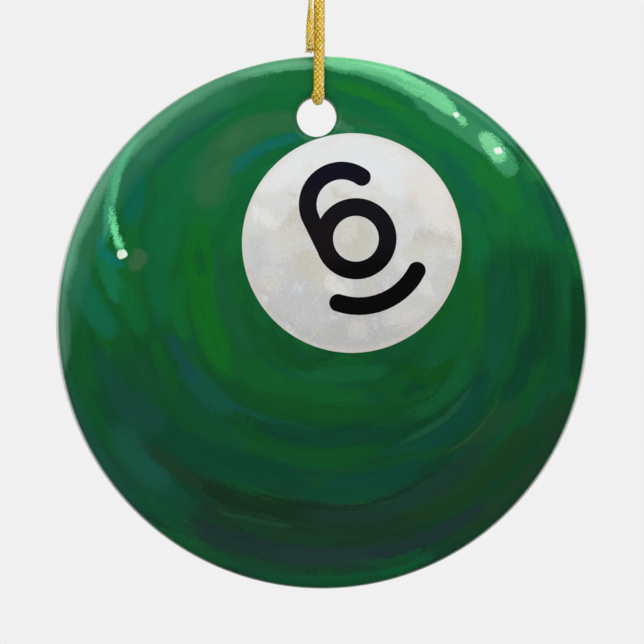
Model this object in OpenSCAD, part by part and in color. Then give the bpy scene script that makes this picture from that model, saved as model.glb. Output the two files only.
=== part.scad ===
// Flat porcelain hanging ornament with a printed numbered pool ball and a gold cord.
// The origin is the hang point, inside the crown of the cord's loop. The disc faces -Y.

/* [Disc] */
// Diameter of the porcelain disc
disc_d = 73; // [66:0.5:90]
// Thickness of the porcelain disc
disc_t = 4; // [3.5:0.1:6]
// Radius of the rounding along the disc's rim
rim_round = 1.5; // [0.8:0.1:1.6]
// How far the disc's centre hangs to the right of the cord
disc_side = 0.38; // [-1:0.01:1]

/* [Hole] */
// Diameter of the hole for the cord
hole_d = 5.4; // [4:0.1:7]
// Distance from the disc's centre to the hole's centre
hole_offset = 28.15; // [27:0.05:29]
// How far the hole sits off the picture's upright, in degrees
hole_angle = 1.6; // [-3:0.1:3]
// Radius of the rounding along the hole's edge
hole_round = 1.0; // [0.6:0.1:1.2]

/* [Picture] */
// Thickness of the printed coat
coat_t = 0.08; // [0.05:0.01:0.15]
// Radius of the white spot
spot_r = 15; // [13:0.1:15.5]
// Width of the strokes of the numeral and of the bar under it
stroke_w = 2.44; // [1.6:0.02:2.6]
// Radius of the numeral's bowl, along the middle of its stroke
bowl_r = 4.34; // [4:0.02:5]
// Radius of the numeral's upper arm, along the middle of its stroke
arm_r = 4.66; // [4.4:0.02:5]
// Radius of the bar under the numeral, along the middle of its stroke
bar_r = 8.9; // [8.4:0.1:9.4]

/* [Cord] */
// Diameter of the cord
cord_d = 1; // [0.8:0.05:1]
// Widest radius of the knot
knot_r = 2.1; // [1.9:0.05:2.4]
// Clearance between the cord and what moves against it
run_gap = 0.05; // [0.03:0.01:0.08]

/* [Hidden] */
$fn = 96;

cord_r = cord_d / 2;
disc_r = disc_d / 2;
face = disc_t / 2;
hole_r = hole_d / 2;
// The printed coat covers the face and wraps round the rim to this height from mid-thickness
coat_edge = face - rim_round;

// The cord hangs from a hook, and its centre in the hole is hang_drop below the hang point
hang_drop = 66;
bight_side = -0.2;
hole_side = disc_side - hole_offset * sin(hole_angle);
// The cord touches the hole's wall from inside, so its centre lies on this circle round the hole
seat_r = hole_r - cord_r - run_gap;
hole_z = -hang_drop - sqrt(pow(seat_r, 2) - pow(bight_side - hole_side, 2));
disc_drop = -hole_z + hole_offset * cos(hole_angle);

// Centres of the picture's round parts, from the disc's centre, across and up
spot_at = [4.04, 10.84];
bowl_at = [4.6, 11.42];
arm_at = [2.67, 16.08];
bar_at = [5.0, 11.1];
arm_from = 54;
arm_to = 200;
bar_from = 251.5;
bar_to = 333;
// Where the outer and inner edges of the numeral's straight back run into its bowl
back_outer = [-0.5, 9.25];
back_inner = [1.4, 10.1];

// Cord routes: points along the middle of each tube
crown_z = cord_r;
loop_side = 0.55;
loop_low = -41.3;
leg_points = [[0, 0.5], [1.4, 0.2], [2.6, -0.7], [3.3, -2], [3.5, -3.3], [3.3, -6],
              [2.7, -14], [2, -23], [1.3, -32], [0.8, -38], [0.65, loop_low]];

knot_top = loop_low - run_gap;
knot_h = 5;
knot_pivot_z = knot_top - knot_h;
knot_foot_r = 0.8;

strand_top = -47.2;
strand_low = -64;
strand_y = face + run_gap + cord_r;
front_points = [[0, -0.55, strand_top], [0, -1.1, -50.5], [0, -1.7, -54],
                [0, -2.2, -57], [-0.04, -strand_y, -59.3], [-0.1, -strand_y, -62],
                [bight_side, -strand_y, strand_low + 0.5], [bight_side, -strand_y, strand_low]];
back_points = [[0, 0.55, strand_top], [0, 1.1, -50.5], [0, 1.7, -54],
               [0, 2.2, -57], [-0.04, strand_y, -59.3], [-0.1, strand_y, -62],
               [bight_side, strand_y, strand_low + 0.5], [bight_side, strand_y, strand_low]];
bight_steps = 6;
bend_r = strand_y - face + hole_round;
bight_points = concat(
    [[bight_side, -strand_y, strand_low]],
    [for (i = [0 : bight_steps]) bight_point(-1, 90 * i / bight_steps)],
    [for (i = [bight_steps : -1 : 0]) bight_point(1, 90 * i / bight_steps)],
    [[bight_side, strand_y, strand_low]]);
left_tail_points = [[-1.25, -0.6, strand_top], [-1.28, -1.3, -50.5], [-1.28, -2, -54],
                    [-1.28, -2.7, -57], [-1.28, -3, -59.3]];
right_tail_points = [[1.25, 0.6, strand_top], [1.35, 0.9, -49], [1.35, 1.1, -50.6]];
tube_sides = 8;

// Point on one rounded half of the cord's bend through the hole: side is -1 in front, 1 behind
function bight_point(side, turn) =
    [bight_side, side * (face - hole_round + bend_r * cos(turn)),
     -hang_drop + bend_r * (1 - sin(turn))];

function unit(v) = v / norm(v);
// Direction of a route at point i, from its neighbours
function heading(p, i) = unit(p[min(i + 1, len(p) - 1)] - p[max(i - 1, 0)]);
// A ring's first axis, square to the route. None of the routes runs along this slanted guide
function across(d) = unit(cross(d, [0.94, 0.3, 0.12]));
function ring(p, i, r) =
    let (d = heading(p, i), a = across(d), b = cross(d, a))
    [for (k = [0 : tube_sides - 1])
        let (t = 360 * (k + 0.5) / tube_sides) p[i] + r * (cos(t) * a + sin(t) * b)];

module tube(p, r = cord_r) {
    n = len(p);
    points = [for (i = [0 : n - 1]) each ring(p, i, r)];
    walls = [for (i = [0 : n - 2]) for (k = [0 : tube_sides - 1])
        let (m = (k + 1) % tube_sides, a = i * tube_sides, b = a + tube_sides)
        [a + k, a + m, b + m, b + k]];
    first = [[for (k = [tube_sides - 1 : -1 : 0]) k]];
    last = [[for (k = [0 : tube_sides - 1]) (n - 1) * tube_sides + k]];
    polyhedron(points = points, faces = concat(walls, first, last), convexity = 6);
}

// Places a shape drawn in the disc's own plane: x across, y up, z out of the face
module on_disc() {
    translate([disc_side, 0, -disc_drop]) rotate([90, 0, 0]) children();
}

module at_hole() {
    translate([-hole_offset * sin(hole_angle), hole_offset * cos(hole_angle), 0]) children();
}

// The disc with its rim rounded, taken in by a depth all over
module rounded_disc(inset) {
    r = rim_round - inset;
    rotate_extrude() {
        translate([0, -face + inset]) square([disc_r - rim_round, disc_t - 2 * inset]);
        translate([0, -face + rim_round]) square([disc_r - inset, disc_t - 2 * rim_round]);
        for (side = [-1, 1])
            translate([disc_r - rim_round, side * (face - rim_round)]) circle(r);
    }
}

// What the hole takes away, with its edges rounded
module hole_cutter(inset) {
    r = hole_round - inset;
    wide = hole_r + hole_round;
    at_hole() rotate_extrude() {
        translate([0, -face - 1]) square([hole_r + inset, disc_t + 2]);
        for (side = [-1, 1])
            difference() {
                translate([0, side > 0 ? face - hole_round : -face - 1])
                    square([wide, hole_round + 1]);
                translate([wide, side * (face - hole_round)]) circle(r);
            }
    }
}

module blank(inset = 0) {
    difference() {
        rounded_disc(inset);
        hole_cutter(inset);
    }
}

// Everything in front of the coat's edge
module front_side() {
    translate([-disc_r - 1, -disc_r - 1, coat_edge]) cube([disc_d + 2, disc_d + 2, face]);
}

module coat() {
    difference() {
        intersection() {
            blank();
            front_side();
        }
        blank(coat_t);
    }
}

// A solid that reaches through the coat, for cutting the picture's parts from it
module through_coat() {
    translate([0, 0, face - 2 * coat_t]) linear_extrude(4 * coat_t) children();
}

// Points round a centre, from one angle to another
function arc_points(centre, r, from, to) =
    let (steps = ceil(abs(to - from) / 6))
    [for (i = [0 : steps]) let (t = from + (to - from) * i / steps) centre + r * [cos(t), sin(t)]];

// The points of a round end, without the two it shares with the stroke's edges
function round_end(centre, from) = arc_points(centre, stroke_w / 2, from + 10, from + 170);

// The white spot stops just short of the hole's rounded edge
module spot_outline() {
    difference() {
        translate(spot_at) circle(spot_r);
        at_hole() circle(hole_r + hole_round + 0.1);
    }
}

module six_outline() {
    tip = arm_at + arm_r * [cos(arm_from), sin(arm_from)];
    difference() {
        union() {
            translate(bowl_at) circle(bowl_r + stroke_w / 2);
            polygon(concat(
                arc_points(arm_at, arm_r + stroke_w / 2, arm_from, arm_to),
                [back_outer, back_inner],
                arc_points(arm_at, arm_r - stroke_w / 2, arm_to, arm_from),
                round_end(tip, arm_from + 180)));
        }
        translate(bowl_at) circle(bowl_r - stroke_w / 2);
    }
}

module bar_outline() {
    first = bar_at + bar_r * [cos(bar_from), sin(bar_from)];
    last = bar_at + bar_r * [cos(bar_to), sin(bar_to)];
    polygon(concat(
        arc_points(bar_at, bar_r + stroke_w / 2, bar_from, bar_to), round_end(last, bar_to),
        arc_points(bar_at, bar_r - stroke_w / 2, bar_to, bar_from),
        round_end(first, bar_from + 180)));
}

module porcelain_disc() {
    color("whitesmoke") on_disc() difference() {
        blank();
        difference() {
            front_side();
            blank(coat_t);
        }
    }
}

module print_green() {
    color("darkgreen") on_disc() difference() {
        coat();
        through_coat() spot_outline();
    }
}

module print_spot() {
    color("white") on_disc() difference() {
        intersection() {
            coat();
            through_coat() spot_outline();
        }
        through_coat() six_outline();
        through_coat() bar_outline();
    }
}

module print_six() {
    color("black") on_disc() intersection() {
        coat();
        through_coat() six_outline();
    }
}

module print_bar() {
    color("black") on_disc() intersection() {
        coat();
        through_coat() bar_outline();
    }
}

// The short stretch of both cords that bears on the hook. The loop swings about its middle
module loop_crown() {
    color("goldenrod") translate([0, 0, crown_z]) rotate([90, 0, 0])
        cylinder(r = cord_r, h = 2 * (loop_side + cord_r), center = true);
}

// One side of one of the loop's two cords: side is -1 left, 1 right; depth is its place in Y
module loop_leg(side, depth) {
    color("goldenrod") difference() {
        tube([for (p = leg_points) [side * p[0], depth, p[1]]]);
        translate([0, 0, crown_z]) rotate([90, 0, 0])
            cylinder(r = cord_r + run_gap, h = 4, center = true);
    }
}

module loop_leg_left_front() { loop_leg(-1, -loop_side); }
module loop_leg_left_back() { loop_leg(-1, loop_side); }
module loop_leg_right_front() { loop_leg(1, -loop_side); }
module loop_leg_right_back() { loop_leg(1, loop_side); }

// The drawn-up knot: two fat turns over a core, with a round pin-like foot the strands swing on
module knot() {
    turn_r = 0.8;
    core_r = 1.3;
    core_low = 0.6;
    color("goldenrod") translate([0, 0, knot_pivot_z]) union() {
        translate([0, 0, core_low]) cylinder(r = core_r, h = knot_h - core_low);
        for (z = [1.65, 3.25])
            translate([0, 0, z]) rotate_extrude()
                translate([knot_r - turn_r, 0]) circle(turn_r);
        rotate([0, 90, 0]) cylinder(r = knot_foot_r, h = 2 * core_r, center = true);
    }
}

module strand_front() { color("goldenrod") tube(front_points); }
module strand_back() { color("goldenrod") tube(back_points); }
module hole_bight() { color("goldenrod") tube(bight_points); }
module tail_left() { color("goldenrod") tube(left_tail_points); }
module tail_right() { color("goldenrod") tube(right_tail_points); }

porcelain_disc();
print_green();
print_spot();
print_six();
print_bar();
loop_crown();
loop_leg_left_front();
loop_leg_left_back();
loop_leg_right_front();
loop_leg_right_back();
knot();
strand_front();
strand_back();
hole_bight();
tail_left();
tail_right();
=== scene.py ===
"""Looks of the flat porcelain hanging ornament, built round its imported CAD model.

Lengths in the tables and helpers are in millimetres unless their name ends in _M. Points become
metres where a mesh is made.
"""

import math

import bpy
import numpy as np
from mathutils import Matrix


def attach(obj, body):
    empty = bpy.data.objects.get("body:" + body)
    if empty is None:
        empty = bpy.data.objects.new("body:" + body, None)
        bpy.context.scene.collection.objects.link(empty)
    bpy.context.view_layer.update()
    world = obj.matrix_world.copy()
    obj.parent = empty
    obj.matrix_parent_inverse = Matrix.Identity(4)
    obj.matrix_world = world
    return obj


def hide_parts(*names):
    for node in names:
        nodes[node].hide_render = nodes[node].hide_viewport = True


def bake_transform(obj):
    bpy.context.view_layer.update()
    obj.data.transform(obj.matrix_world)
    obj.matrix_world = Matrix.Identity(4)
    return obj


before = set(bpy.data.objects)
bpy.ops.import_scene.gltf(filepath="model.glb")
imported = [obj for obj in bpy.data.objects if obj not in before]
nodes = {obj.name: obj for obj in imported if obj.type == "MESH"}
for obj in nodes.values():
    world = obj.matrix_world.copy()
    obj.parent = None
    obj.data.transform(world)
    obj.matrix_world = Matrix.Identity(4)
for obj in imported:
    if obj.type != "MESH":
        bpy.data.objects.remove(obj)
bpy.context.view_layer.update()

MM = 0.001
DISC_CENTRE = np.array([0.38, 0.0, -96.279])
DISC_R = 36.5

# ---------------------------------------------------------------- camera

LENS = 200.0
SENSOR = 36.0
VIEW_WIDE = 88.28  # how much the picture spans at the disc's mid-thickness
AIM = DISC_CENTRE + np.array([-0.034, -0.5, 0.041])
CLIP_M = (0.01, 20)


def make_camera():
    data = bpy.data.cameras.new("camera")
    data.lens = LENS
    data.sensor_width = SENSOR
    data.clip_start, data.clip_end = CLIP_M
    cam = bpy.data.objects.new("camera", data)
    distance = VIEW_WIDE * LENS / SENSOR
    cam.location = (AIM - np.array([0, distance, 0])) * MM
    cam.rotation_euler = (math.pi / 2, 0, 0)
    bpy.context.scene.collection.objects.link(cam)
    bpy.context.scene.camera = cam


make_camera()

# ---------------------------------------------------------------- node helpers


def linear(hex_colour):
    """A hex sRGB colour as linear RGBA."""
    c = np.array([int(hex_colour[i : i + 2], 16) / 255 for i in (0, 2, 4)])
    c = np.where(c <= 0.04045, c / 12.92, ((c + 0.055) / 1.055) ** 2.4)
    return (*c.tolist(), 1.0)


def node(tree, kind, *inputs, out=0, **props):
    """Adds a shader node, sets its inputs in order and returns one output."""
    n = tree.nodes.new("ShaderNode" + kind)
    for key, value in props.items():
        setattr(n, key, value)
    for socket, value in zip(n.inputs, inputs):
        plug(tree, socket, value)
    return n.outputs[out]


def plug(tree, socket, value):
    """Links a socket to another, or sets it to a value. None leaves it as it is."""
    if value is None:
        return
    if isinstance(value, bpy.types.NodeSocket):
        tree.links.new(value, socket)
    else:
        socket.default_value = value


def maths(tree, operation, *inputs, clamp=False):
    return node(tree, "Math", *inputs, operation=operation, use_clamp=clamp)


def vector(tree, operation, *inputs, out=0):
    return node(tree, "VectorMath", *inputs, operation=operation, out=out)


def scaled(tree, value, by):
    return node(tree, "VectorMath", value, None, None, by, operation="SCALE")


def mix(tree, factor, a, b, blend="MIX"):
    n = tree.nodes.new("ShaderNodeMix")
    n.data_type = "RGBA"
    n.blend_type = blend
    plug(tree, n.inputs[0], factor)
    plug(tree, n.inputs[6], a)
    plug(tree, n.inputs[7], b)
    return n.outputs[2]


def ramp(tree, value, stops):
    """A colour ramp through (position, hex colour) stops."""
    n = tree.nodes.new("ShaderNodeValToRGB")
    tree.links.new(value, n.inputs[0])
    elements = n.color_ramp.elements
    while len(elements) < len(stops):
        elements.new(0.5)
    for element, (at, colour) in zip(elements, stops):
        element.position = at
        element.color = linear(colour)
    return n.outputs[0]


def ranged(tree, value, low, high, to_low=0.0, to_high=1.0, smooth=True):
    kind = "SMOOTHSTEP" if smooth else "LINEAR"
    return node(tree, "MapRange", value, low, high, to_low, to_high, interpolation_type=kind)


def noise(tree, place, scale, detail, rough=0.5, out=0):
    n = tree.nodes.new("ShaderNodeTexNoise")
    plug(tree, n.inputs["Vector"], place)
    n.inputs["Scale"].default_value = scale
    n.inputs["Detail"].default_value = detail
    n.inputs["Roughness"].default_value = rough
    return n.outputs[out]


def cell_colours(tree, place):
    """A random colour for each cell of about one unit."""
    n = tree.nodes.new("ShaderNodeTexVoronoi")
    plug(tree, n.inputs["Vector"], place)
    n.inputs["Scale"].default_value = 1.0
    return n.outputs["Color"]


def shaded(tree, colour, value):
    """colour, made darker or lighter by a value."""
    grey = node(tree, "CombineColor", value, value, value)
    return mix(tree, 1.0, colour, grey, "MULTIPLY")


def new_material(name):
    mat = bpy.data.materials.new(name)
    mat.use_nodes = True
    tree = mat.node_tree
    bsdf = next(n for n in tree.nodes if n.type == "BSDF_PRINCIPLED")
    return mat, tree, bsdf


def bump(tree, bsdf, height, distance, strength):
    n = tree.nodes.new("ShaderNodeBump")
    n.inputs["Strength"].default_value = strength
    n.inputs["Distance"].default_value = distance
    tree.links.new(height, n.inputs["Height"])
    tree.links.new(n.outputs[0], bsdf.inputs["Normal"])


# ---------------------------------------------------------------- cords

CORD_D = 1.0
YARNS = 6  # in each direction
PITCH = 4.7  # of one turn of a yarn round the cord
YARN_HALF_W = 0.165
YARN_HALF_H = 0.07
LIFT = 0.055  # how far a yarn rises and sinks where it crosses the others
SURFACE_GAP = 0.02  # yarns stay this far inside the cord's diameter, and the core inside them
CORE_LIFT = -1.6  # the core is painted darker than the lowest yarn, whose lift is -1: painted shading deep inside the braid
YARN_RING, CORE_RING, HAIR_RING = 6, 8, 5  # sides of the tubes
STEP = 0.085  # between a tube's rings

# The cords' routes: the loop's right half in x and z, then points in x, y and z
LEG = [(0, 0.5), (1.4, 0.2), (2.6, -0.7), (3.3, -2), (3.5, -3.3), (3.3, -6),
       (2.7, -14), (2, -23), (1.3, -32), (0.8, -38), (0.65, -41.3)]
LOOP_Y = 0.55
KNOT_TOP = -41.35
KNOT_FOOT = -46.35
BEND_R = 1.55
BEND_Y = 1.0  # the bend's two quarter turns are centred this far before and behind y = 0
BEND_Z = -64.53
FRONT = [(-0.06, -0.45, -45.6), (-0.06, -0.55, -47.2), (-0.07, -1.1, -50.5), (-0.07, -1.7, -54),
         (-0.07, -2.2, -57), (-0.06, -2.45, -59.8), (-0.06, -2.5, -62)]
BACK = [(0.05, 0.45, -45.6), (0.02, 0.55, -47.2), (0.02, 1.1, -50.5), (0.02, 1.7, -54),
        (0.02, 2.2, -57), (0.0, 2.5, -59.8), (-0.08, 2.5, -62)]
# The bend through the hole: x, which side of y = 0, and degrees below level
BEND = [(-0.08, -1, 0), (-0.15, -1, 20), (-0.23, -1, 45), (-0.26, -1, 70), (-0.22, -1, 90),
        (-0.2, 1, 70), (-0.2, 1, 45), (-0.18, 1, 20), (-0.15, 1, 0)]
TAIL_LEFT = [(-0.9, -0.4, -45.6), (-1.24, -0.6, -47.2), (-1.26, -1.3, -50.5), (-1.27, -2, -54),
             (-1.29, -2.7, -57), (-1.27, -3, -59.0)]
TAIL_RIGHT = [(0.9, 0.4, -45.6), (1.25, 0.6, -47.2), (1.35, 0.9, -49), (1.35, 1.1, -50.6)]


def unit(v):
    return v / np.maximum(np.linalg.norm(v, axis=-1, keepdims=True), 1e-12)


def smooth_path(points, step=STEP):
    """A Catmull-Rom curve through the points, with its own points evenly spaced."""
    p = np.array(points, float)
    p = np.vstack([2 * p[0] - p[1], p, 2 * p[-1] - p[-2]])
    t = np.linspace(0, 1, 60, endpoint=False)[:, None]
    out = [
        0.5 * (2 * b + (c - a) * t + (2 * a - 5 * b + 4 * c - d) * t**2
               + (3 * b - a - 3 * c + d) * t**3)
        for a, b, c, d in zip(p[:-3], p[1:-2], p[2:-1], p[3:])
    ]
    line = np.vstack([*out, p[-2:-1]])
    along = np.concatenate([[0], np.cumsum(np.linalg.norm(np.diff(line, axis=0), axis=1))])
    at = np.linspace(0, along[-1], max(4, round(along[-1] / step) + 1))
    return np.stack([np.interp(at, along, line[:, k]) for k in range(3)], axis=1)


def lengths(line):
    return np.concatenate([[0], np.cumsum(np.linalg.norm(np.diff(line, axis=0), axis=1))])


class Weave:
    """Gathers tubes into one mesh, with what the cord's material reads at each point, among them
    the painted light and shading of each yarn.
    """

    def __init__(self):
        self.points, self.faces, self.size = [], [], 0
        self.values = {"along": [], "round": [], "lift": [], "painted_light": []}

    def tube(self, centre, outward, half_w, half_h, ring, lift, painted_light, start):
        """One tube along centre. half_w and half_h may change along it."""
        n = len(centre)
        heading = unit(np.gradient(centre, axis=0))
        outward = unit(outward - (outward * heading).sum(1, keepdims=True) * heading)
        lateral = np.cross(heading, outward)
        turn = np.arange(ring) * 2 * math.pi / ring
        half_w, half_h = (np.broadcast_to(np.asarray(h, float), (n,)) for h in (half_w, half_h))
        rings = (
            centre[:, None]
            + lateral[:, None] * np.cos(turn)[None, :, None] * half_w[:, None, None]
            + outward[:, None] * np.sin(turn)[None, :, None] * half_h[:, None, None]
        )
        base = self.size + np.arange(n - 1)[:, None] * ring
        k = np.arange(ring)[None]
        m = (k + 1) % ring
        quads = np.stack([base + k, base + m, base + ring + m, base + ring + k], axis=-1)
        self.faces += quads.reshape(-1, 4).tolist()
        self.faces.append(list(range(self.size + ring - 1, self.size - 1, -1)))
        self.faces.append(list(range(self.size + (n - 1) * ring, self.size + n * ring)))
        self.points.append(rings.reshape(-1, 3))
        self.size += n * ring
        self.values["along"].append(np.repeat(start + lengths(centre), ring))
        self.values["round"].append(np.tile(np.arange(ring) / ring, n))
        for name, value in (("lift", lift), ("painted_light", painted_light)):
            value = np.broadcast_to(np.asarray(value, float), (n,))
            self.values[name].append(np.repeat(value, ring))

    def braid(self, line, guide, wide=1.0, thick=1.0, size=1.0, painted_light=0.5, twist=0.0):
        """A round braid along line. guide is the side that the section keeps; wide and thick
        scale the section along that side and square to it."""
        n = len(line)
        s = lengths(line)
        heading = unit(np.gradient(line, axis=0))
        guide = np.broadcast_to(np.asarray(guide, float), (n, 3))
        side = unit(guide - (guide * heading).sum(1, keepdims=True) * heading)
        up = np.cross(heading, side)
        turn = np.broadcast_to(np.asarray(twist, float), (n,))[:, None]
        side, up = side * np.cos(turn) + up * np.sin(turn), up * np.cos(turn) - side * np.sin(turn)
        wide, thick = (np.broadcast_to(np.asarray(v, float), (n,))[:, None] for v in (wide, thick))
        middle = size * (CORD_D / 2 - SURFACE_GAP) - YARN_HALF_H - LIFT
        for way in (1, -1):
            lift = way * np.cos(2 * YARNS * math.pi * (s / PITCH - 1 / (4 * YARNS)))
            for k in range(YARNS):
                phase = 2 * math.pi * (k / YARNS + (way < 0) / (2 * YARNS) + way * s / PITCH)
                c, d = np.cos(phase)[:, None], np.sin(phase)[:, None]
                reach = (middle + LIFT * lift)[:, None]
                centre = line + reach * (c * side * wide + d * up * thick)
                outward = unit(c * side / wide + d * up / thick)
                start = 7.3 * k + 3.1 * way  # keeps the filaments of the yarns out of step
                # Painted light: each yarn is painted lighter where it lies towards the cord's guide
                # side, and darker on the far side
                self.tube(centre, outward, YARN_HALF_W * size * np.sqrt(wide[:, 0]),
                          YARN_HALF_H, YARN_RING, lift, painted_light + 0.25 * c[:, 0], start)
        core = middle - SURFACE_GAP
        self.tube(line, up, core * wide[:, 0], core * thick[:, 0], CORE_RING, CORE_LIFT, painted_light, 0)

    def build(self, name):
        """Makes the gathered tubes into an object of gold cord."""
        mesh = bpy.data.meshes.new(name)
        mesh.from_pydata((np.vstack(self.points) * MM).tolist(), [], self.faces)
        for key, value in self.values.items():
            attribute = mesh.attributes.new(key, "FLOAT", "POINT")
            attribute.data.foreach_set("value", np.concatenate(value).astype(np.float32))
        mesh.shade_smooth()
        mesh.update()
        piece = bpy.data.objects.new(name, mesh)
        bpy.context.scene.collection.objects.link(piece)
        piece.data.materials.append(cord_material)
        return piece


def make_cord_material():
    mat, t, bsdf = new_material("gold_braid")
    along = node(t, "Attribute", attribute_name="along", out=2)
    about = node(t, "Attribute", attribute_name="round", out=2)
    lift = node(t, "Attribute", attribute_name="lift", out=2)
    # A painted light value: lighter on one side of each yarn, darker inside the knot
    painted_light = node(t, "Attribute", attribute_name="painted_light", out=2)
    place = node(t, "TexCoord", out=3)
    # Filaments lie at a slant round each yarn
    slant = maths(t, "MULTIPLY_ADD", about, 5.0, maths(t, "MULTIPLY", along, 2.2))
    filament = maths(t, "SINE", maths(t, "MULTIPLY", slant, 2 * math.pi))
    glint = noise(t, place, 4300.0, 1.0, 0.5)
    glint = maths(t, "MULTIPLY_ADD", maths(t, "SUBTRACT", painted_light, 0.5), 0.35, glint)
    patch = noise(t, place, 1500.0, 2.0, 0.6)
    # How light each point is painted: raised yarns lighter, sunk yarns and the core darker as
    # painted shading, moved by the painted light value, random patches and the filament stripes
    tone_and_painted_shade = maths(t, "MULTIPLY_ADD", lift, 0.38, 0.5)
    tone_and_painted_shade = maths(t, "MULTIPLY_ADD", filament, 0.10, tone_and_painted_shade)
    tone_and_painted_shade = maths(t, "MULTIPLY_ADD", patch, 0.7, maths(t, "SUBTRACT", tone_and_painted_shade, 0.35))
    tone_and_painted_shade = maths(t, "MULTIPLY_ADD", painted_light, 0.25, maths(t, "SUBTRACT", tone_and_painted_shade, 0.125))
    colour = ramp(t, tone_and_painted_shade, [(0.0, "2C1B02"), (0.22, "805006"), (0.38, "D0960C"), (0.54, "EEBA10"),
                             (0.78, "FCD630"), (1.0, "FFEE90")])
    # Painted glints: pale sparks, more of them on the side painted lighter; dark specks, more of
    # them on the side painted darker
    spark = ranged(t, glint, 0.66, 0.71)
    colour = mix(t, spark, colour, linear("FFF8DC"))
    speck = ranged(t, glint, 0.34, 0.29)
    colour = mix(t, maths(t, "MULTIPLY", speck, 0.8), colour, linear("4A330C"))
    plug(t, bsdf.inputs["Base Color"], colour)
    bsdf.inputs["Metallic"].default_value = 0.2
    plug(t, bsdf.inputs["Roughness"], ranged(t, glint, 0.3, 0.7, 0.55, 0.25))
    bsdf.inputs["Sheen Weight"].default_value = 0.15
    bsdf.inputs["Sheen Roughness"].default_value = 0.4
    bump(t, bsdf, filament, 0.00002, 0.6)
    return mat


cord_material = make_cord_material()


def loop_line(y):
    """Up the left leg, over the crown and down the right leg, with both ends in the knot."""
    right = [(x, y, z) for x, z in LEG] + [(0.62, y, KNOT_TOP - 1.0)]
    left = [(-x, y, z) for x, _, z in right[:0:-1]]
    return smooth_path(left + right)


def sling_line():
    """Down the front, through the hole and up the back."""
    bend = [(x, side * (BEND_Y + BEND_R * math.cos(math.radians(turn))),
             BEND_Z - BEND_R * math.sin(math.radians(turn))) for x, side, turn in BEND]
    return smooth_path(FRONT + bend + BACK[::-1])


def bell(s, at, width):
    """1 at one place along a cord, falling away smoothly on both sides of it."""
    return np.exp(-(((s - at) / width) ** 2))


def make_loops():
    made = []
    for name, y in (("cord_loop_front", -LOOP_Y), ("cord_loop_back", LOOP_Y)):
        line = loop_line(y)
        weave = Weave()
        # Painted light: the loops are a little lighter than the sling
        weave.braid(line, (0, 1, 0), wide=1.1, thick=0.92, painted_light=0.55)
        made.append((weave.build(name), line))
    return made


def make_sling():
    line = sling_line()
    s = lengths(line)
    middle = s[-1] / 2
    in_knot = bell(s, 0, 3) + bell(s, s[-1], 3)
    # Flattened on the hole's front edge, and slim inside the hole, so that the disc can roll
    wide = 1.58 + 0.46 * bell(s, middle - 2.45, 0.75) - 0.45 * bell(s, middle, 1.6)
    thick = 0.62 + 0.23 * bell(s, middle, 2.9)
    weave = Weave()
    weave.braid(line, (1, 0, 0), wide=wide - 0.45 * in_knot, thick=thick + 0.1 * in_knot)
    return weave.build("cord_sling"), line


FILAMENTS = 60
FILAMENT_LONG = 0.75
FILAMENT_SPLAY = 0.42
FILAMENT_HALF = 0.05
END_HALF = (0.42, 0.14)  # of the cut end, along its wide side and square to it
CURLS = 9
CURL_ROUND = 4.2  # radians
CURL_HALF = (0.075, 0.065)
HAIR_STEP = (0.09, 0.07)  # between the rings of a filament and of a curl


def fray(weave, root, down, side, out, seed):
    """Loose filaments that splay from a cut end."""
    rng = np.random.default_rng(seed)
    for _ in range(FILAMENTS):
        u, v = rng.uniform(-1, 1), rng.uniform(-1, 1)
        length = FILAMENT_LONG * rng.uniform(0.5, 1.15)
        bend = side * u * FILAMENT_SPLAY + out * v * FILAMENT_SPLAY * 0.5
        lean = side * rng.normal(0, 0.12) + out * rng.normal(0, 0.1)
        start = root + side * u * END_HALF[0] + out * v * END_HALF[1] - down * 0.25
        points = [start + down * length * q + bend * 0.9 * q**2 + lean * q * (1 - q) * 2
                  for q in (0, 0.35, 0.7, 1.0)]
        line = smooth_path(points, HAIR_STEP[0])
        half = FILAMENT_HALF * rng.uniform(0.7, 1.3) * np.linspace(1, 0.55, len(line))
        # Each filament gets a random lift and a random painted light value, so some are painted
        # lighter and some darker
        weave.tube(line, np.broadcast_to(out, line.shape), half, half, HAIR_RING,
                   rng.uniform(-0.8, 1.0), rng.uniform(0.2, 0.8), rng.uniform(0, 9))


def curls(weave, line, side, out, seed):
    """Yarn ends that have sprung up in small loops near a cut end."""
    rng = np.random.default_rng(seed)
    up = np.array([0, 0, 1])
    for k in range(CURLS):
        root = line[-2 - 3 * k] + side * rng.uniform(-0.3, 0.3) + out * 0.26
        size = rng.uniform(0.16, 0.26)
        start = rng.uniform(0, 2 * math.pi)
        points = [root + size * (side * math.cos(start + q) + up * math.sin(start + q))
                  + out * 0.12 * math.sin(q * 0.5) for q in np.linspace(0, CURL_ROUND, 9)]
        loop = smooth_path(points, HAIR_STEP[1])
        # Painted light: the curls are painted fully raised and light
        weave.tube(loop, np.broadcast_to(out, loop.shape), *CURL_HALF, HAIR_RING,
                   1.0, 0.8, 2.0 * k)


def make_tail(name, points, turn, wide, thick, seed):
    """A hanging end, whose section turns, by degrees, and opens towards its frayed cut."""
    line = smooth_path(points)
    q = lengths(line) / lengths(line)[-1]
    ease = np.clip((q - 0.42) / 0.5, 0, 1)
    ease = ease**2 * (3 - 2 * ease)
    twist = np.radians(turn[0] + (turn[1] - turn[0]) * ease)
    weave = Weave()
    weave.braid(line, (1, 0, 0), wide=wide * (0.96 + 0.1 * ease), thick=thick * (1 + 0.2 * ease),
                twist=twist)
    down = unit(line[-1] - line[-4])
    c, d = math.cos(twist[-1]), math.sin(twist[-1])
    side, out = np.array([c, d, 0]), np.array([-d, c, 0])
    fray(weave, line[-1], down, side, out, seed)
    curls(weave, line, side, -out if out[1] > 0 else out, seed + 1)
    return weave.build(name)


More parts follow.
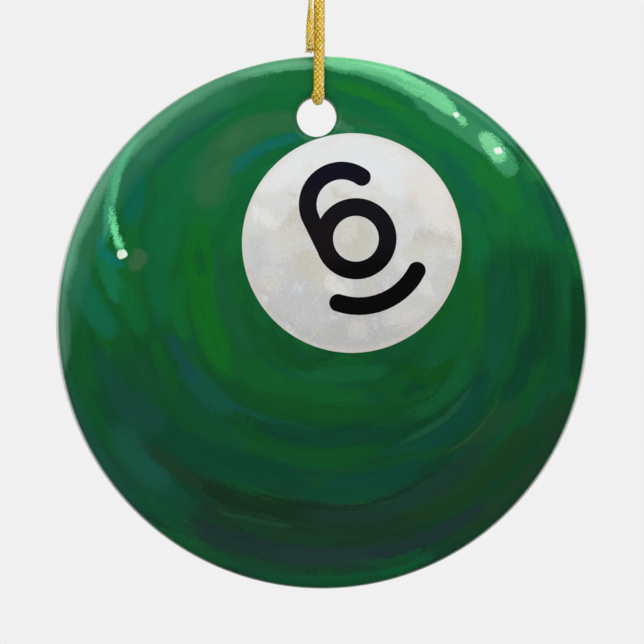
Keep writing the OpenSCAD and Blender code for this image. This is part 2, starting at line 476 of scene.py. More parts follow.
INNER_CORDS = [(-0.5, -0.48), (0.5, -0.48), (-0.5, 0.48), (0.5, 0.48)]
INNER_R = 0.68
INNER_TURN = math.radians(150)
WRAP_R = 1.5
WRAP_FROM, WRAP_TURN = 200, 560  # degrees
WRAP_SHIFT = 0.46  # half the distance between the two wrapping cords
WRAP_LONG = 2.5
TUCK = 0.12  # share of the wrap at each end that dives into the knot


def make_knot():
    """The drawn-up overhand knot: two cords side by side wrap the others and tuck in again."""
    weave = Weave()
    middle = (KNOT_TOP + KNOT_FOOT) / 2
    for x, y in INNER_CORDS:
        a = math.atan2(y, x)
        turn = np.linspace(0, INNER_TURN, 9)
        zs = np.linspace(KNOT_TOP + 0.35, KNOT_FOOT - 0.15, 9)
        line = smooth_path([(INNER_R * math.cos(a + q), INNER_R * math.sin(a + q), z)
                            for q, z in zip(turn, zs)])
        # Painted shading: the cords inside the knot are darker
        weave.braid(line, (1, 0.2, 0), size=0.98, painted_light=0.35)
    for shift in (-WRAP_SHIFT, WRAP_SHIFT):
        points = []
        for q in np.linspace(0, 1, 33):
            turn = math.radians(WRAP_FROM + WRAP_TURN * q)
            out = WRAP_R - max(0, 1 - q / TUCK) ** 2 - max(0, (q - 1 + TUCK) / TUCK) ** 2
            z = middle + WRAP_LONG * (0.5 - q) + shift * (1 - 0.3 * math.cos(turn))
            points.append((out * math.cos(turn), out * math.sin(turn), z))
        weave.braid(smooth_path(points), (0.05, 0.1, 1))
    return weave.build("cord_knot")


def place_cords():
    knot = make_knot()
    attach(knot, "knot_body")
    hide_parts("knot")
    crowns = [["loop_crown", "loop_leg_left_front", "loop_leg_right_front"],
              ["loop_leg_left_back", "loop_leg_right_back"]]
    for (loop, line), stood_for in zip(make_loops(), crowns):
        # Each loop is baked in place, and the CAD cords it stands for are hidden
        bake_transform(loop)
        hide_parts(*stood_for)
    sling, line = make_sling()
    tails = [make_tail("cord_tail_left", TAIL_LEFT, turn=(86, 8), wide=1.16, thick=0.4, seed=3),
             make_tail("cord_tail_right", TAIL_RIGHT, turn=(30, -20), wide=1.15, thick=0.6, seed=5)]
    for piece in [sling, *tails]:
        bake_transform(piece)
    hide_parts("strand_front", "strand_back", "hole_bight")
    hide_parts("tail_left")
    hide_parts("tail_right")


place_cords()

# ---------------------------------------------------------------- stage


FLOOR_RINGS_M = (0.05, 0.12, 0.2)
FLOOR_SIDES = 96
FLOOR_Z_M = -0.178  # low enough to stay out of the photo's view


def make_stage():
    n = FLOOR_SIDES
    verts = [(0, 0, 0)]
    for r in FLOOR_RINGS_M:
        verts += [(r * math.cos(2 * math.pi * k / n), r * math.sin(2 * math.pi * k / n), 0)
                  for k in range(n)]
    faces = [(0, 1 + k, 1 + (k + 1) % n) for k in range(n)]
    for j in range(len(FLOOR_RINGS_M) - 1):
        inner, outer = 1 + j * n, 1 + (j + 1) * n
        faces += [(inner + k, outer + k, outer + (k + 1) % n, inner + (k + 1) % n)
                  for k in range(n)]
    mesh = bpy.data.meshes.new("floor")
    mesh.from_pydata(verts, [], faces)
    floor = bpy.data.objects.new("floor", mesh)
    floor.location = (0, 0, FLOOR_Z_M)
    bpy.context.scene.collection.objects.link(floor)
    mat, t, bsdf = new_material("studio_floor")
    grain = noise(t, node(t, "TexCoord", out=3), 60.0, 3.0)
    plug(t, bsdf.inputs["Base Color"], ramp(t, grain, [(0.3, "E9E9E8"), (0.7, "EDEDEC")]))
    bsdf.inputs["Roughness"].default_value = 0.7
    mesh.materials.append(mat)
    floor.visible_glossy = False


def area_light(name, place, size, watts, mirrored=True):
    """A square light that faces the disc's centre. place, from there, and size are in metres."""
    data = bpy.data.lights.new(name, "AREA")
    data.shape = "SQUARE"
    data.size = size
    data.energy = watts
    lamp = bpy.data.objects.new(name, data)
    place = np.array(place, float)
    lamp.location = place + DISC_CENTRE * MM
    away = place / np.linalg.norm(place)
    lamp.rotation_euler = (math.acos(away[2]), 0, math.atan2(away[0], -away[1]))
    lamp.visible_camera = False
    lamp.visible_glossy = mirrored
    bpy.context.scene.collection.objects.link(lamp)


def make_world():
    """The photo's plain pale grey to the camera, and a dimmer white that lights the scene."""
    world = bpy.data.worlds.new("studio")
    world.use_nodes = True
    t = world.node_tree
    t.nodes.clear()
    seen = node(t, "Background", linear("F0F0F0"), 1.0)
    unseen = node(t, "Background", (1, 1, 1, 1), 0.5)
    chosen = node(t, "MixShader", node(t, "LightPath"), unseen, seen)
    out = t.nodes.new("ShaderNodeOutputWorld")
    t.links.new(chosen, out.inputs[0])
    world.cycles_visibility.glossy = False
    bpy.context.scene.world = world
    bpy.context.scene.view_settings.view_transform = "Standard"


make_stage()
make_world()
area_light("key", (0.35, -1.0, 1.15), 1.5, 10.5)
area_light("fill", (-1.1, -1.0, 0.45), 1.3, 6.4)
area_light("right", (1.35, -0.35, -0.25), 1.2, 4, mirrored=False)
area_light("back", (0.2, 1.2, 0.9), 1.2, 7)

# ---------------------------------------------------------------- painting


def make_stroke_group():
    """One brush stroke along an arc, laid over a colour. Its middle line has a centre and a
    radius, and runs the same angle to both sides of the Along direction."""
    g = bpy.data.node_groups.new("brush_stroke", "ShaderNodeTree")
    kinds = [("Under", "Color"), ("Place", "Vector"), ("Grain", "Float"), ("Centre", "Vector"),
             ("Along", "Vector"), ("Across", "Vector"), ("PerWidth", "Float"),
             ("LessRadius", "Float"), ("PerAngle", "Float"), ("Rag", "Float"),
             ("Crisp", "Float"), ("Tint", "Color"), ("Opacity", "Float")]
    for name, kind in kinds:
        g.interface.new_socket(name, in_out="INPUT", socket_type="NodeSocket" + kind)
    g.interface.new_socket("Over", in_out="OUTPUT", socket_type="NodeSocketColor")
    i = g.nodes.new("NodeGroupInput").outputs
    d = vector(g, "SUBTRACT", i["Place"], i["Centre"])
    u = vector(g, "DOT_PRODUCT", d, i["Along"], out=1)
    v = vector(g, "DOT_PRODUCT", d, i["Across"], out=1)
    a = maths(g, "MULTIPLY_ADD", vector(g, "LENGTH", d, out=1), i["PerWidth"], i["LessRadius"])
    b = maths(g, "MULTIPLY", maths(g, "ARCTAN2", v, u), i["PerAngle"])
    b2 = maths(g, "MULTIPLY", b, b)
    f = maths(g, "MULTIPLY_ADD", a, a, maths(g, "MULTIPLY", b2, b2))
    f = maths(g, "MULTIPLY_ADD", i["Grain"], i["Rag"], f)
    inside = maths(g, "SUBTRACT", 1.0, f)
    cover = maths(g, "MULTIPLY_ADD", inside, i["Crisp"], 0.5, clamp=True)
    over = mix(g, maths(g, "MULTIPLY", cover, i["Opacity"]), i["Under"], i["Tint"])
    g.links.new(over, g.nodes.new("NodeGroupOutput").inputs[0])
    return g


stroke_group = make_stroke_group()


def wrap(angle):
    """The same angle, from -pi to pi."""
    return (angle + math.pi) % (2 * math.pi) - math.pi


LEAST_BOW = 0.02  # of an arc's chord; anything straighter is bent by this much


def arc_through(a, m, b):
    """Centre, radius, middle direction and half angle of the arc a-m-b."""
    a, m, b = (np.array(p, float) for p in (a, m, b))
    ab, am = b - a, m - a
    cross = ab[0] * am[1] - ab[1] * am[0]
    if abs(cross) < LEAST_BOW * (ab @ ab):
        side = np.array([-ab[1], ab[0]]) / math.hypot(*ab)
        m = (a + b) / 2 + side * LEAST_BOW * math.hypot(*ab)
        am = m - a
        cross = ab[0] * am[1] - ab[1] * am[0]
    q = np.array([am[1] * (ab @ ab) - ab[1] * (am @ am), ab[0] * (am @ am) - am[0] * (ab @ ab)])
    centre = a + q / (2 * cross)
    radius = math.hypot(*(a - centre))
    start, end, mid = (math.atan2(*(p - centre)[::-1]) for p in (a, b, m))
    s, e = wrap(start - mid), wrap(end - mid)
    return centre, radius, mid + (s + e) / 2, abs(e - s) / 2


def stroke(t, under, place, grain, a, m, b, half_w, colour, opacity, crisp, rag):
    centre, radius, middle, half = arc_through(a, m, b)
    n = t.nodes.new("ShaderNodeGroup")
    n.node_tree = stroke_group
    values = {
        "Under": under, "Place": place, "Grain": grain, "Centre": (*centre, 0.0),
        "Along": (math.cos(middle), math.sin(middle), 0.0),
        "Across": (-math.sin(middle), math.cos(middle), 0.0),
        "PerWidth": 1 / half_w, "LessRadius": -radius / half_w, "PerAngle": 1 / half,
        "Rag": rag, "Crisp": crisp, "Tint": linear(colour), "Opacity": opacity,
    }
    for key, value in values.items():
        plug(t, n.inputs[key], value)
    return n.outputs[0]


def painted(t, colour, place, grain, strokes):
    """Lays strokes over a colour: three points or a dab, half width, colour and handling."""
    for *way, half_w, tint, handling in strokes:
        if len(way) == 2:
            (x, z), (lean, half_long) = way
            u = half_long * math.cos(math.radians(lean)), half_long * math.sin(math.radians(lean))
            way = (x - u[0], z - u[1]), (x, z), (x + u[0], z + u[1])
        colour = stroke(t, colour, place, grain, *way, half_w, tint, *HANDLING[handling])
    return colour


def picture_place(t):
    """Place in the picture: millimetres across and up from the disc's centre."""
    x, z = (node(t, "SeparateXYZ", node(t, "TexCoord", out=3), out=k) for k in (0, 2))
    across = maths(t, "MULTIPLY_ADD", x, 1 / MM, -DISC_CENTRE[0])
    up = maths(t, "MULTIPLY_ADD", z, 1 / MM, -DISC_CENTRE[2])
    return node(t, "CombineXYZ", across, up, 0.0)


def warped(t, place, coarse, fine):
    """place, pushed about by a slow noise and by a quick one."""
    for scale, amount in ((0.16, coarse), (1.1, fine)):
        push = vector(t, "SUBTRACT", noise(t, place, scale, 2.0, out=1), (0.5, 0.5, 0.5))
        place = vector(t, "ADD", place, scaled(t, push, amount))
    return place


def swirl(t, place, centre, across, around):
    """Coordinates for marks that follow circles round centre."""
    d = vector(t, "SUBTRACT", place, (*centre, 0.0))
    r = maths(t, "MULTIPLY", vector(t, "LENGTH", d, out=1), across)
    return vector(t, "ADD", scaled(t, vector(t, "NORMALIZE", d), around),
                  node(t, "CombineXYZ", 0.0, 0.0, r))


# How a stroke is laid: opacity, how crisp its edge is, how ragged its edge is
HANDLING = {
    "veil": (0.5, 0.7, 0.5),
    "soft": (0.75, 0.9, 0.7),
    "body": (0.8, 1.5, 1.0),
    "firm": (0.92, 3.0, 0.6),
    "dry": (0.9, 3.5, 2.2),
    "wisp": (0.5, 1.6, 2.6),
    "rough": (0.92, 3.0, 1.3),
    "dot": (1.0, 1.4, 0.15),
    "faint": (0.45, 1.2, 0.6),
}

# Each stroke: from, through, to, half width, colour, handling. A dab has its middle,
# then its lean in degrees and half length
GREEN_STROKES = [
    # upper left field
    ((-12, 31.5), (-18, 28.5), (-24, 22.5), 2.0, "1B7747", "soft"),
    ((-9.5, 32.8), (-5, 33.2), (-0.5, 32.8), 1.6, "147038", "body"),
    ((-12, 29.8), (-6, 30.2), (0, 30), 1.5, "0E6C33", "body"),
    ((-13, 28.8), (-18.3, 26.2), (-23.1, 20.5), 1.0, "125A49", "soft"),
    ((-16.5, 24.5), (-20.5, 18), (-21.5, 8), 2.2, "0D6A3A", "soft"),
    ((-3, 27.0), (-8, 27.2), (-12.8, 25.6), 1.5, "2E6B42", "body"),
    ((-8.5, 26.0), (-14, 22), (-15.6, 15.8), 2.5, "2E6A42", "body"),
    ((-12.2, 25), (50, 1.8), 0.9, "346E48", "dry"),
    ((-17.6, 20.2), (75, 3.0), 0.8, "1F6C44", "wisp"),
    ((-12.4, 20.6), (-8.2, 23.7), (-2.6, 25.3), 0.9, "0C6A5E", "body"),
    ((-11.5, 17.5), (-8.6, 21.3), (-4, 24.2), 0.9, "0D6535", "body"),
    ((-24.3, 21.2), (-23.6, 17.5), (-24, 13.5), 0.9, "125E34", "soft"),
    ((-23, 14), (-22.6, 7), (-21.5, 0), 1.6, "0D6539", "soft"),
    ((-24.6, 22.4), (-25.6, 18), (-25.9, 13.4), 1.3, "04654F", "body"),
    ((-24.6, 23.6), (60, 1.2), 1.0, "1F7458", "soft"),
    # left edge
    ((-34.8, 10), (-32.5, 4), (-28.5, -1.6), 1.8, "0E684C", "body"),
    ((-34.2, 2), (-33.5, -3), (-31, -9), 1.6, "0F5826", "soft"),
    ((-30.2, 10.5), (-29, 6.5), (-27.3, 3.0), 1.3, "12764C", "body"),
    ((-27, 5.5), (-26.2, 2.5), (-24.5, -1.5), 1.3, "0E6634", "soft"),
    ((-30.3, 12.2), (-29.6, 9.4), (-27.0, 7.8), 0.6, "0A7266", "soft"),
    ((-25.3, 8.5), (60, 1.5), 1.1, "3A6944", "body"),
    # bright and dark rings left of and under the spot
    ((-16.6, 15), (-16.4, 4), (-12.8, -7.2), 1.9, "0F6B1E", "body"),
    ((-19.2, 6.5), (-19.5, 1), (-18.5, -2.5), 1.1, "0F682A", "soft"),
    ((-16.6, 8), (85, 1.9), 0.7, "0B5A28", "dry"),
    ((-13.0, 10), (-12.6, 2), (-9.6, -4.8), 1.4, "155B34", "body"),
    ((-10.8, 3), (-8.5, -2.5), (-4.4, -5.6), 1.0, "10562A", "body"),
    ((-11.5, -5), (-3.5, -10), (6, -10.5), 2.4, "125E28", "body"),
    ((-4, -6.2), (2, -7.2), (9, -6.2), 1.1, "125F36", "body"),
    ((-6.4, -3.4), (-3.6, -5.3), (-0.8, -6.2), 0.8, "0D5024", "body"),
    ((-9, -9.6), (-2, -12.2), (8, -11.8), 1.5, "0E5021", "body"),
    ((-18.8, -5.6), (-16.2, -9.2), (-12.4, -12.2), 1.6, "0F5444", "soft"),
    ((-20.9, -1.8), (-19.3, -4.8), (-16.8, -8.2), 0.75, "134C49", "body"),
    ((-15.2, -10.0), (-9.5, -12.7), (-2.4, -14.2), 0.42, "11524A", "faint"),
    ((-8.4, -13.6), (-1, -15.8), (8, -14.9), 1.1, "0D4632", "body"),
    ((-13, -14.2), (-3, -18.4), (8.5, -17.0), 1.5, "0C5224", "body"),
    ((-20, -9.5), (-15.6, -14.2), (-10, -17.2), 1.5, "0F5030", "soft"),
    ((-22, -14.5), (-13, -19.4), (-1, -21.2), 1.9, "0B4632", "body"),
    # lower left
    ((-29.5, -6.5), (-62, 3.2), 1.5, "144E42", "veil"),
    ((-27, -4.4), (-24.6, -7), (-21.4, -9.4), 1.8, "124C30", "soft"),
    ((-28.6, -9.0), (-25.2, -11.9), (-21.6, -14.2), 2.0, "174A40", "soft"),
    ((-27.2, -13.2), (-25.6, -18.2), (-21.4, -22.8), 2.7, "165042", "veil"),
    ((-27.4, -14.4), (-25.0, -18.8), (-21.2, -22.0), 1.9, "1A5849", "wisp"),
    ((-26.4, -22.8), (-22, -26), (-17, -29.4), 1.3, "0F4D30", "soft"),
    ((-19, -27.6), (-11, -32.2), (-3, -34.6), 1.2, "17452C", "body"),
    # right field, above
    ((1, 32.9), (7.6, 30.6), (15.2, 25.6), 0.8, "157A28", "body"),
    ((0.5, 31.4), (8.6, 28.2), (15.4, 23.4), 0.9, "0C683C", "body"),
    ((2.4, 28.0), (6.6, 27.0), (11, 24.9), 0.5, "226A40", "soft"),
    ((2.9, 26.6), (-20, 1.4), 0.7, "3A7A58", "dry"),
    ((9.5, 28.8), (16.5, 24.8), (22.5, 18.6), 1.5, "0F7436", "body"),
    ((15.8, 23.6), (19.6, 18.6), (21.3, 14.2), 1.4, "0C6146", "soft"),
    ((21.4, 22.0), (24.6, 18.6), (25.8, 14.6), 2.0, "13752D", "body"),
    ((28.4, 20.6), (-60, 1.6), 1.0, "1C763F", "soft"),
    ((19.6, 15), (21.4, 11), (20.8, 5.6), 1.5, "0E6A3A", "body"),
    ((22.4, 13.2), (26, 13.6), (29.8, 14.6), 1.6, "0F6B34", "soft"),
    ((30.2, 18.6), (32, 15), (33, 11), 1.3, "0F5640", "body"),
    # right field, middle
    ((28.4, 2.6), (90, 7.6), 6.4, "0C4A2B", "soft"),
    ((23.8, 8), (24.4, 1), (22.8, -6.4), 1.7, "0D5238", "soft"),
    ((20.9, 6.5), (21.3, 1.5), (20.4, -3.8), 1.0, "125F22", "soft"),
    ((27.2, 7.6), (27.6, 2), (26.4, -5), 0.8, "0F572A", "body"),
    ((29.8, 8), (30.4, 1), (29, -6), 1.7, "0C4328", "soft"),
    ((32.8, 9.4), (33.5, 5), (33.6, 1), 0.7, "105A35", "body"),
    # Painted shading: the right rim is painted darker, as the side turned from the light
    ((34.8, 6), (35.3, 0), (34.4, -8), 1.4, "0A3A22", "soft"),
    ((18.2, 2), (17.6, -3), (13.6, -7.6), 1.3, "0F5A31", "soft"),
    ((11.4, -6.2), (15.2, -7.4), (18.2, -4.8), 1.0, "0C5119", "body"),
    ((19.6, -3.6), (17.6, -9), (12, -12.6), 1.0, "105C30", "dry"),
    # right field, below
    ((22.0, -6.6), (19.2, -12.6), (13.2, -17.4), 1.5, "0B4637", "body"),
    ((20.2, -8.8), (17, -12.8), (11.2, -16.3), 0.4, "265A3E", "faint"),
    ((0.4, -21.6), (7, -21.4), (13.8, -18.9), 1.1, "0B4638", "body"),
    ((28.0, -1.4), (27.2, -6.6), (24.8, -10.8), 1.3, "0B402C", "soft"),
    ((31, -8.6), (29.6, -12), (27.4, -14.6), 1.2, "0C5032", "body"),
    ((33.4, -4), (32.8, -8), (32.4, -9.8), 0.8, "0C4A33", "soft"),
    ((33.2, -9.6), (28.2, -19.6), (15.4, -29.2), 3.3, "163E26", "body"),
    ((33.6, -10.6), (28.6, -20.8), (20.6, -28.2), 1.6, "1B3F28", "soft"),
    ((28.0, -14.4), (21.8, -20.8), (9.6, -27.2), 1.9, "1A4020", "body"),
    # dark bands that run right across
    ((-4, -23.0), (5, -23.4), (12.5, -21.2), 0.9, "0B4833", "body"),
    ((-17.5, -25.4), (-3, -29.4), (12, -27.8), 3.1, "183725", "body"),
    ((-24.3, -16.7), (-19.2, -20.6), (-12, -23.8), 0.95, "1C3D27", "body"),
    ((-16.6, -22.0), (-7, -25.2), (2.5, -25.9), 1.35, "13311F", "body"),
    ((-14.4, -25.6), (-9, -27.2), (-4, -27.8), 0.3, "1F5034", "faint"),
    ((-2, -26.0), (11.4, -24.4), (22.4, -16.0), 1.6, "1A3C31", "body"),
    ((-4, -24.9), (7, -24.5), (15.4, -20.4), 0.35, "122C1E", "faint"),
    ((26.6, -11.2), (23.8, -13.6), (19.8, -16.4), 1.15, "1C482D", "body"),
    ((-18.4, -27.0), (-8.5, -31.0), (1.5, -31.6), 1.45, "1D3433", "body"),
    ((-7, -31.4), (2.5, -32.2), (9.5, -30.9), 1.35, "203A37", "body"),
    ((6.0, -32.0), (14.6, -29.4), (22.2, -24.6), 0.95, "1D3533", "firm"),
    ((22.4, -23.7), (27, -19.6), (30.2, -15.4), 0.4, "0B4026", "body"),
    ((24.2, -10.6), (21.8, -13.9), (17, -18.0), 0.2, "365528", "faint"),
    # lower rim
    ((-9, -34.6), (2, -35.6), (13, -33), 0.9, "0D5230", "dry"),
    ((8, -34.4), (12.0, -33.4), (15, -32.0), 0.5, "0A6238", "wisp"),
    ((-24.4, -26.4), (-31.4, -17.4), (-35.3, -6), 1.1, "1F5649", "veil"),
    # light along the upper right rim
    ((7.6, 35.6), (17.4, 31.8), (26.8, 24.2), 1.7, "2F8A5F", "firm"),
    ((-1.4, 35.4), (7.4, 33.7), (15.6, 29.7), 0.95, "3E9B66", "firm"),
    ((12.4, 31.2), (19.4, 26.8), (26.3, 20.9), 1.55, "3A9162", "firm"),
    ((0.5, 35.2), (8, 33.8), (14.6, 30.6), 0.7, "56B680", "body"),
    ((24.6, 21.9), (-48, 2.4), 1.2, "409C68", "body"),
    ((-0.5, 35.7), (6.2, 35.0), (12.4, 32.9), 1.05, "7AD99B", "firm"),
    ((7.0, 34.8), (13.6, 32.0), (18.6, 28.3), 1.05, "77D799", "firm"),
    ((-0.5, 35.2), (6.2, 34.4), (14.4, 31.0), 0.5, "66C68B", "dry"),
    ((18.9, 27.9), (-52, 1.3), 0.5, "7FDC9C", "dry"),
    ((21.85, 25.8), (23.2, 24.0), (24.7, 21.9), 1.1, "80DB9F", "rough"),
    ((18.45, 28.4), (20, 0.4), 0.38, "E8F7EC", "dot"),
    ((24.05, 23.35), (20, 0.55), 0.5, "F0F8F0", "dot"),
    # painted highlight along the upper left rim: the rounded rim's soft reflection of a light at
    # the upper left, painted into the picture; the fill lamp adds a real reflection over it
    ((-12.6, 33.8), (-6.5, 35.2), (-0.4, 35.5), 1.05, "63B485", "body"),
    ((-35.0, 0), (-27.6, 20.6), (-9, 33.2), 2.3, "36785A", "veil"),
    ((-35.9, 3), (-29.3, 20.7), (-10, 34.4), 1.3, "5DA27E", "soft"),
    ((-36.1, 7), (-36.1, 0), (-35.6, -7), 0.9, "3F7A60", "soft"),
    # the mint streak at the left, and its spark
    ((-25.0, 25.8), (-27.8, 20.6), (-29.3, 12.0), 0.75, "43A177", "body"),
    ((-29.5, 13.4), (88, 2.6), 0.5, "2F977A", "wisp"),
    ((-25.3, 25.3), (-27.5, 21.2), (-28.6, 16.6), 0.45, "56B285", "dry"),
    ((-28.75, 15.6), (-28.4, 12.6), (-27.5, 9.8), 0.55, "6DDA99", "dry"),
    ((-28.6, 13.6), (-28.3, 12), (-27.7, 10.2), 0.35, "74E39F", "body"),
    ((-27.4, 9.25), (20, 0.62), 0.55, "DDF2DF", "dot"),
]

SPOT_STROKES = [
    ((-6, 20.5), (4, 23.8), (12, 20.5), 3.0, "E8EBEA", "soft"),
    ((2, 20.6), (8.2, 20.6), (11, 17.2), 1.5, "E7EAED", "soft"),
    ((11.6, 20.4), (16.2, 15.6), (17.8, 9), 2.7, "E8E3DE", "soft"),
    ((10.4, 15), (11.8, 11), (10.4, 7), 1.5, "DADDDF", "soft"),
    ((15.4, 17.5), (-60, 2.2), 1.4, "E8E4E0", "wisp"),
    ((12.0, 11.4), (15.2, 11.0), (18.2, 10.2), 1.4, "C9C7BC", "dry"),
    ((14.2, 9.6), (10, 3.0), 1.5, "D2D0C7", "dry"),
    ((4.6, 11.5), (30, 2.8), 2.6, "C9C7BB", "soft"),
    ((3.7, 12.4), (60, 1.6), 1.0, "DDDBD3", "wisp"),
    ((-8.4, 17.6), (-5.8, 20.8), (-2, 23.4), 1.6, "E9ECEC", "soft"),
    ((-8.6, 15), (40, 2.8), 1.6, "DDDCD8", "wisp"),
    ((-7.6, 14.4), (-30, 2.2), 1.0, "F0F0EE", "wisp"),
    ((-3.8, 13.2), (60, 2.6), 1.6, "CCC9BD", "dry"),
    ((-9.6, 11.6), (-8.2, 9), (-7.6, 6), 1.6, "C9CBCC", "soft"),
    ((-5.6, 10.4), (50, 2.8), 1.8, "DEDDD8", "wisp"),
    ((-1.4, 7.2), (-55, 2.8), 1.6, "CBC7BB", "dry"),
    ((-6.4, 4.6), (-3.2, 2.0), (0.4, 0.4), 1.7, "C5C6C9", "soft"),
    ((-6.9, 5.6), (-45, 2.2), 1.2, "DAD9D5", "wisp"),
    ((1.6, 5.2), (-20, 2.4), 1.4, "D6D3CA", "wisp"),
    ((1.7, 4.9), (-40, 1.6), 0.8, "EBE9E4", "wisp"),
    ((0, -1.6), (6, -2.6), (12, -0.9), 1.8, "B9BABA", "soft"),
    ((8.6, 0.2), (14.0, 3.6), (17.2, 8), 1.7, "CFCFCC", "soft"),
    ((4.9, -1.1), (80, 1.2), 1.2, "D4D3D0", "wisp"),
    ((11.8, 0.3), (20, 2.2), 1.2, "D6D3CD", "wisp"),
    ((15.2, 8.2), (80, 1.8), 1.0, "D9DBE0", "wisp"),
    ((13.6, 5.2), (-50, 1.8), 0.8, "E4E3E0", "wisp"),
    ((16.4, 2.8), (18.6, 6.5), (18.8, 11), 0.8, "CBC4B9", "soft"),
    ((1.5, -3.4), (6.5, -3.9), (11, -2.7), 0.8, "C4BDBC", "soft"),
    ((-10.6, 8.6), (-9.2, 4.6), (-6.8, 1.2), 0.5, "CFC5C0", "wisp"),
]

SPOT_AT = (4.04, 10.84)
SPOT_R = 15.0
HOLE_AT = (-0.786, 28.139)
HOLE_R = 2.7
SWIRL_AT = (2.0, 5.0)  # what the brush marks of the green circle round
RIM_FADE = (36.0, 36.55)  # from full print to bare glaze
RIM_OVAL = (1.003, 0.995, 1.0)  # the print ends a little sooner at the sides


def away_from(t, place, centre):
    """Distance from a point of the picture."""
    return vector(t, "LENGTH", vector(t, "SUBTRACT", place, (*centre, 0.0)), out=1)


def make_grain(t, flat, bristle):
    """Uneven paint at the size of a bristle, from about -1 to 1, and the fine part of it."""
    fine = noise(t, flat, 3.6, 3.0, 0.8)
    both = maths(t, "MULTIPLY_ADD", bristle, 1.8, maths(t, "MULTIPLY", fine, 3.4))
    return maths(t, "SUBTRACT", both, 2.6), fine


def make_green():
    mat, t, bsdf = new_material("green_painting")
    flat = picture_place(t)
    place = warped(t, flat, 1.2, 0.45)
    bristle = noise(t, swirl(t, place, SWIRL_AT, 2.2, 5.0), 1.0, 3.0, 0.65)
    grain, fine = make_grain(t, flat, bristle)
    up = node(t, "SeparateXYZ", place, out=1)
    colour = ramp(t, ranged(t, up, -DISC_R, DISC_R, smooth=False), [
        (0.0, "163F2A"), (0.14, "14402C"), (0.28, "0D452B"), (0.42, "0D4E29"), (0.52, "0F5A29"),
        (0.64, "0E622E"), (0.8, "11693A"), (1.0, "137040")])
    ragged = vector(t, "ADD", swirl(t, place, SWIRL_AT, 0.5, 2.8),
                    scaled(t, noise(t, flat, 1.6, 3.0, 0.7, out=1), 0.7))
    cells = cell_colours(t, ragged)
    red, green, blue = (node(t, "SeparateColor", cells, out=k) for k in range(3))
    colour = mix(t, ranged(t, red, 0.6, 1.0, 0.0, 0.3), colour, linear("0C5A44"))
    colour = mix(t, ranged(t, green, 0.65, 1.0, 0.0, 0.3), colour, linear("10651C"))
    value = ranged(t, blue, 0.0, 1.0, 0.9, 1.08, smooth=False)
    colour = shaded(t, colour, value)
    colour = painted(t, colour, place, grain, GREEN_STROKES)
    streak = ranged(t, bristle, 0.25, 0.75, 0.9, 1.1, smooth=False)
    colour = shaded(t, colour, streak)
    tooth = ranged(t, fine, 0.25, 0.75, 0.9, 1.12, smooth=False)
    colour = shaded(t, colour, tooth)
    # Beside the hole the spot runs on round its rounded edge
    in_spot = ranged(t, away_from(t, flat, SPOT_AT), SPOT_R + 0.05, SPOT_R - 0.07)
    colour = mix(t, in_spot, colour, linear("E4E7E6"))
    # The print thins out over the rim and in the hole, and the white glaze shows
    wobble = maths(t, "MULTIPLY_ADD", fine, 0.16, -0.08)
    from_centre = away_from(t, vector(t, "MULTIPLY", flat, RIM_OVAL), (0, 0))
    rim = ranged(t, maths(t, "ADD", from_centre, wobble), *RIM_FADE)
    from_hole = away_from(t, flat, HOLE_AT)
    hole = ranged(t, maths(t, "ADD", from_hole, wobble), HOLE_R + 0.1, HOLE_R - 0.04)
    colour = mix(t, maths(t, "MAXIMUM", rim, hole), colour, linear("F2F3F1"))
    finish_print(t, bsdf, colour, bristle, fine)
    return mat


def finish_print(t, bsdf, colour, bristle, fine):
    """Gloss of the fired coat over the painting."""
    plug(t, bsdf.inputs["Base Color"], colour)
    plug(t, bsdf.inputs["Roughness"], ranged(t, bristle, 0.3, 0.7, 0.42, 0.5))
    bsdf.inputs["Specular IOR Level"].default_value = 0.04
    bsdf.inputs["Coat Weight"].default_value = 0.5
    bsdf.inputs["Coat Roughness"].default_value = 0.12
    bump(t, bsdf, fine, 0.000004, 0.3)


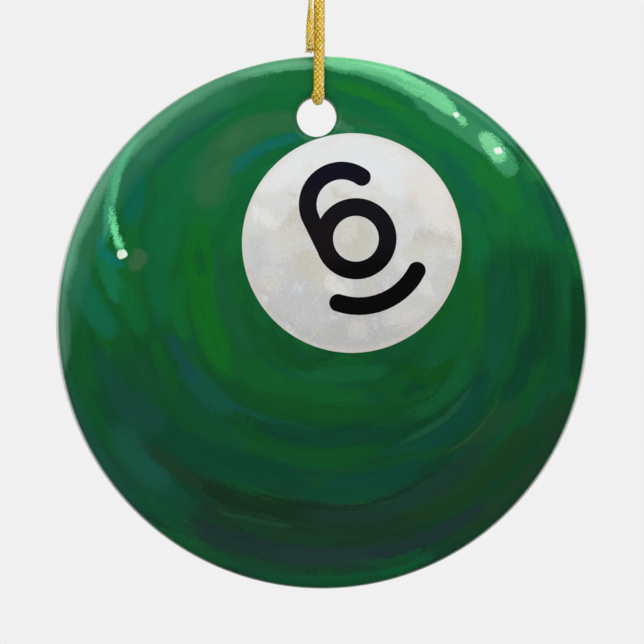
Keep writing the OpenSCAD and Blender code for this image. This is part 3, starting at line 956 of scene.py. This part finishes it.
def make_spot():
    mat, t, bsdf = new_material("white_painting")
    flat = picture_place(t)
    place = warped(t, flat, 2.0, 0.7)
    bristle = noise(t, swirl(t, place, (4.0, 11.0), 1.5, 3.0), 1.0, 3.0, 0.65)
    grain, fine = make_grain(t, flat, bristle)
    up = node(t, "SeparateXYZ", place, out=1)
    colour = ramp(t, ranged(t, up, -4.0, 26.0, smooth=False), [
        (0.0, "B9B8B8"), (0.2, "C0C0C0"), (0.42, "CCCDCB"), (0.62, "D8D8D5"),
        (0.8, "E2E3E1"), (1.0, "E7E9E9")])
    mottle = noise(t, place, 0.32, 4.0, 0.6)
    colour = mix(t, ranged(t, mottle, 0.5, 0.66, 0.0, 0.7), colour, linear("CFC9BC"))
    colour = mix(t, ranged(t, mottle, 0.46, 0.34, 0.0, 0.7), colour, linear("D9DDE2"))
    colour = painted(t, colour, place, grain, SPOT_STROKES)
    # Dry paint in specks, where the brush dragged
    dragged = maths(t, "MULTIPLY", ranged(t, mottle, 0.44, 0.56), ranged(t, up, 18.0, 13.0))
    speck = ranged(t, noise(t, flat, 2.8, 3.0, 0.7), 0.54, 0.6)
    colour = mix(t, maths(t, "MULTIPLY", maths(t, "MULTIPLY", speck, dragged), 0.4), colour,
                 linear("BDB6A4"))
    light = ranged(t, noise(t, flat, 3.2, 2.0, 0.7), 0.6, 0.66)
    colour = mix(t, maths(t, "MULTIPLY", light, 0.35), colour, linear("F3F3F0"))
    edge = ranged(t, away_from(t, place, SPOT_AT), SPOT_R - 0.9, SPOT_R - 0.1)
    colour = mix(t, maths(t, "MULTIPLY", edge, 0.35), colour, linear("D8D3C6"))
    finish_print(t, bsdf, colour, bristle, fine)
    return mat


def make_black():
    mat, t, bsdf = new_material("black_painting")
    flat = picture_place(t)
    place = warped(t, flat, 1.4, 0.6)
    bristle = noise(t, place, 0.5, 3.0, 0.65)
    fine = noise(t, flat, 2.6, 3.0, 0.75)
    up = node(t, "SeparateXYZ", place, out=1)
    colour = ramp(t, ranged(t, up, 0.0, 22.0, smooth=False), [
        (0.0, "0A0A0C"), (0.35, "0B0B0D"), (0.5, "161318"), (0.75, "17151B"), (1.0, "121222")])
    maroon = ranged(t, away_from(t, place, (0.5, 10.5)), 4.5, 1.0, 0.0, 0.7)
    colour = mix(t, maroon, colour, linear("1C1418"))
    finish_print(t, bsdf, colour, bristle, fine)
    return mat


def make_porcelain():
    mat, t, bsdf = new_material("white_glaze")
    place = node(t, "TexCoord", out=3)
    broad = noise(t, place, 90.0, 3.0, 0.5)
    fine = noise(t, place, 900.0, 3.0, 0.6)
    colour = ramp(t, broad, [(0.3, "EDEBE7"), (0.5, "F0EEEA"), (0.7, "F3F2EF")])
    plug(t, bsdf.inputs["Base Color"], colour)
    plug(t, bsdf.inputs["Roughness"], ranged(t, fine, 0.3, 0.7, 0.1, 0.16))
    bsdf.inputs["Coat Weight"].default_value = 0.5
    bsdf.inputs["Coat Roughness"].default_value = 0.04
    bump(t, bsdf, fine, 0.00001, 0.15)
    return mat


def dress(name, mat):
    mesh = nodes[name].data
    mesh.materials.clear()
    mesh.materials.append(mat)


dress("porcelain_disc", make_porcelain())
dress("print_green", make_green())
dress("print_spot", make_spot())
black = make_black()
dress("print_six", black)
dress("print_bar", black)
